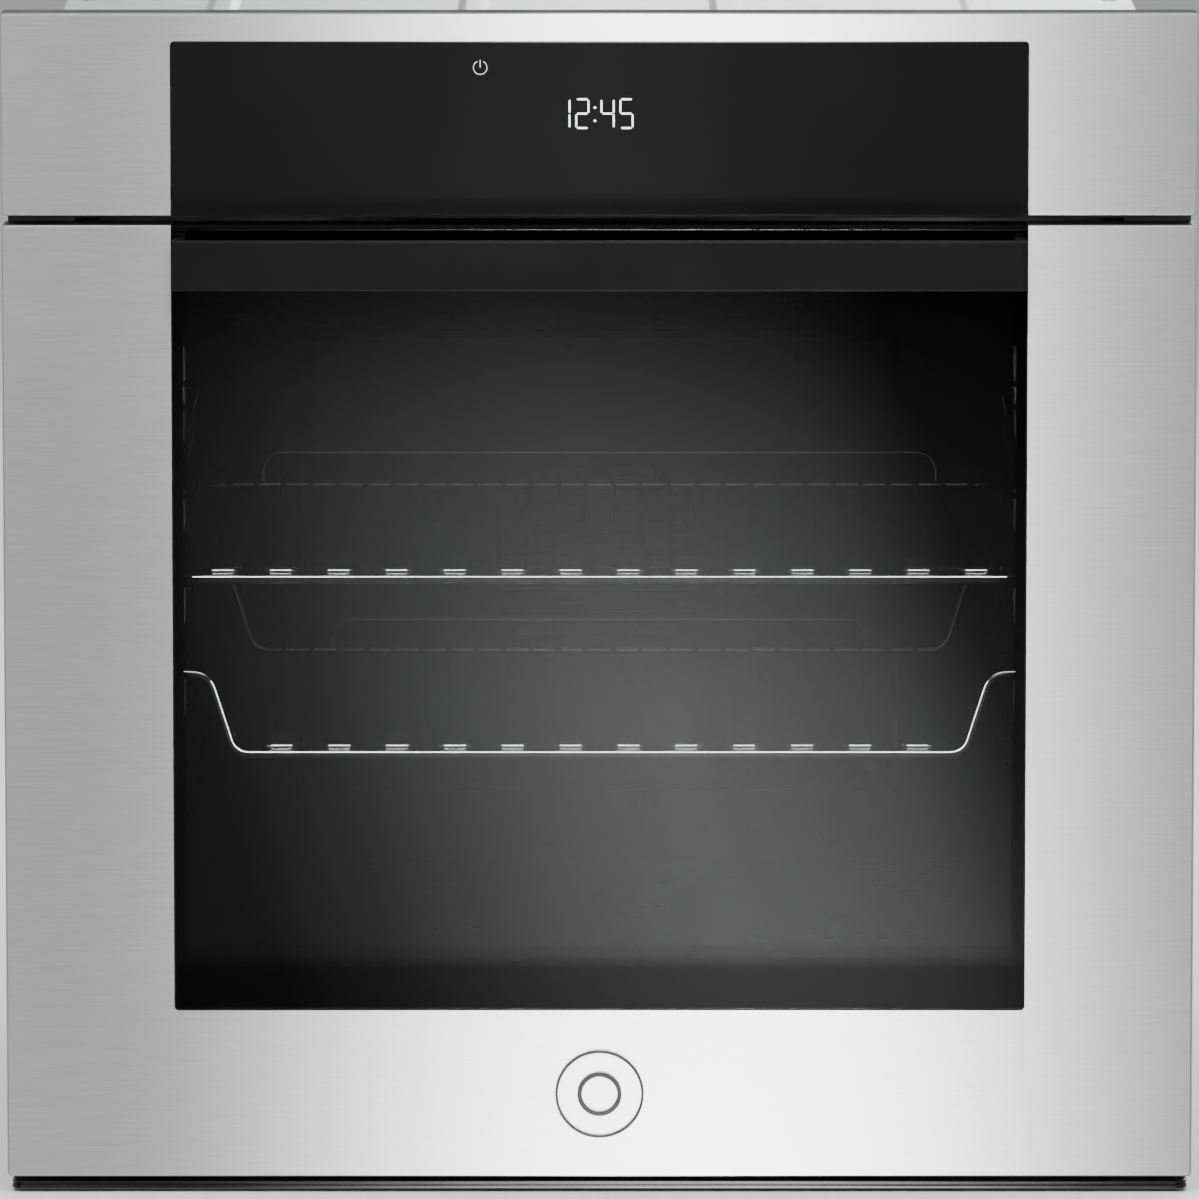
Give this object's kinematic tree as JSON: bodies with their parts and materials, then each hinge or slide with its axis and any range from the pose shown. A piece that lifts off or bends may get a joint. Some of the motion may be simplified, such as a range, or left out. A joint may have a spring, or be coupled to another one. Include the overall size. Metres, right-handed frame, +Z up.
{
  "type": "built-in wall oven",
  "caption": "Built-in electric wall oven: steel front with black control glass, drop-down glazed door with a flat bar handle, wire racks on side ladders.",
  "frame": {"origin": "centre of the bounding box in plan, at the height of the surface under the skids", "axes": "+X to the right seen from the front, +Y into the cabinet, +Z up"},
  "size_m": [0.597, 0.593, 0.596],
  "materials": {
    "stainless": "brushed",
    "black_glass": "polished black",
    "clear_glass": "clear",
    "black_metal": "satin black",
    "enamel": "dark vitreous enamel",
    "chrome_wire": "bright",
    "galvanised": "galvanised sheet",
    "bright_trim": "bright",
    "heater": "oxidised sheath",
    "gasket": "braided cover",
    "insulation": "mineral wool",
    "circuit_board": "laminate",
    "plastic": "moulded",
    "motor": "grey",
    "ceramic": "glazed",
    "spring_steel": "oiled"
  },
  "bodies": {
    "chassis": {"air_duct_plate": "galvanised", "back_panel": "galvanised", "base_plate": "galvanised", "blower_housing": "galvanised", "blower_motor": "motor", "bottom_element": "heater", "bottom_trim": "bright_trim", "cavity_back": "enamel", "cavity_front_frame": "enamel", "cavity_wrap": "enamel", "control_board": "circuit_board", "display_module": "plastic", "door_gasket": "gasket", "fan_cover": "enamel", "fan_motor": "motor", "fascia_carrier": "plastic", "fascia_frame": "stainless", "fascia_glass": "black_glass", "front_frame": "galvanised", "grill_element": "heater", "insulation_back": "insulation", "insulation_wrap": "insulation", "lamp_bulb": "clear_glass", "lamp_lens": "clear_glass", "lamp_socket": "ceramic", "left_hinge_arm": "spring_steel", "left_ladder": "chrome_wire", "left_side_panel": "galvanised", "rear_motor_cover": "galvanised", "right_hinge_arm": "spring_steel", "right_ladder": "chrome_wire", "right_side_panel": "galvanised", "ring_element": "heater", "temperature_probe": "bright_trim", "terminal_block": "plastic", "top_cover": "galvanised"},
    "door": {"door_skin": "stainless", "door_glass_outer": "black_glass", "door_glass_middle": "clear_glass", "door_glass_inner": "clear_glass", "door_top_trim": "black_metal", "door_bottom_cover": "black_metal", "door_badge": "black_metal", "handle_bar": "black_metal", "left_door_stile": "galvanised", "left_handle_bracket": "black_metal", "left_hinge_channel": "galvanised", "left_hinge_pin": "spring_steel", "left_hinge_spring": "spring_steel", "right_door_stile": "galvanised", "right_handle_bracket": "black_metal", "right_hinge_channel": "galvanised", "right_hinge_pin": "spring_steel", "right_hinge_spring": "spring_steel"},
    "upper_rack": {"upper_rack": "chrome_wire"},
    "lower_rack": {"lower_rack": "chrome_wire"},
    "convection_fan": {"convection_fan": "galvanised"},
    "blower_wheel": {"blower_wheel": "galvanised"},
    "left_spring_rod": {"left_spring_rod": "spring_steel"},
    "right_spring_rod": {"right_spring_rod": "spring_steel"}
  },
  "joints": [
    {"name": "door_hinge", "type": "hinge", "parent": "chassis", "child": "door", "pos_m": [0, -0.265, 0.0196], "axis": [1, 0, 0], "range_deg": [0, 90], "stiffness_Nm_per_rad": 12, "springref_deg": -11.46},
    {"name": "upper_rack_slide", "type": "slide", "parent": "chassis", "child": "upper_rack", "axis": [0, -1, 0], "range_m": [0, 0.3]},
    {"name": "lower_rack_slide", "type": "slide", "parent": "chassis", "child": "lower_rack", "axis": [0, -1, 0], "range_m": [0, 0.3]},
    {"name": "convection_fan_spin", "type": "hinge", "parent": "chassis", "child": "convection_fan", "pos_m": [0, 0.1905, 0.262], "axis": [0, 1, 0], "continuous": true},
    {"name": "blower_spin", "type": "hinge", "parent": "chassis", "child": "blower_wheel", "pos_m": [0, 0.0805, 0.5245], "axis": [1, 0, 0], "continuous": true},
    {"name": "left_rod_slide", "type": "slide", "parent": "door", "child": "left_spring_rod", "axis": [0, 0, -1], "range_m": [0, 0.012], "deforming": ["left_hinge_spring"]},
    {"name": "right_rod_slide", "type": "slide", "parent": "door", "child": "right_spring_rod", "axis": [0, 0, -1], "range_m": [0, 0.012], "deforming": ["right_hinge_spring"]}
  ],
  "couplings": [
    {"joint": "upper_rack_slide", "follows": "door_hinge", "m_per_rad": 0.19},
    {"joint": "lower_rack_slide", "follows": "door_hinge", "m_per_rad": 0.19},
    {"joint": "left_rod_slide", "follows": "door_hinge", "m_per_rad": 0.0076},
    {"joint": "right_rod_slide", "follows": "door_hinge", "m_per_rad": 0.0076}
  ]
}
